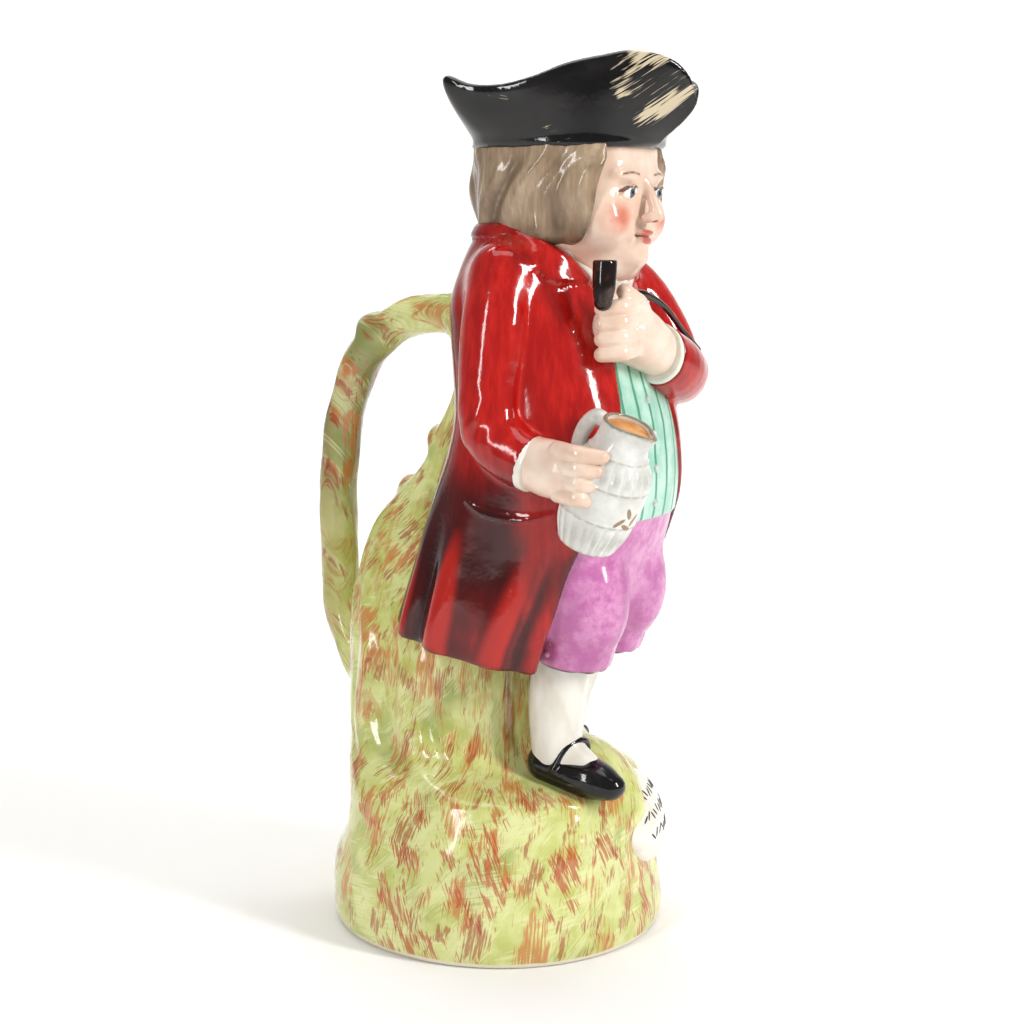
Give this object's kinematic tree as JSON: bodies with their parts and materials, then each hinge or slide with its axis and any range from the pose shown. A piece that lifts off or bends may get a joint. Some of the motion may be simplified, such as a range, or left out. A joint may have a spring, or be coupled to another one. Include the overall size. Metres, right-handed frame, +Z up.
{
  "type": "toby jug",
  "caption": "Glazed pottery jug shaped as a standing man in a cocked hat, with a tree stump, a mound and a branch handle.",
  "frame": {"origin": "middle of the mound's underside", "axes": "+Z up, the man faces -Y, his right hand is at -X, the handle is at +Y"},
  "size_m": [0.1129, 0.1572, 0.29],
  "materials": {
    "glazed_clay": "gloss"
  },
  "bodies": {
    "root": {"toby_jug": "glazed_clay"}
  },
  "joints": []
}
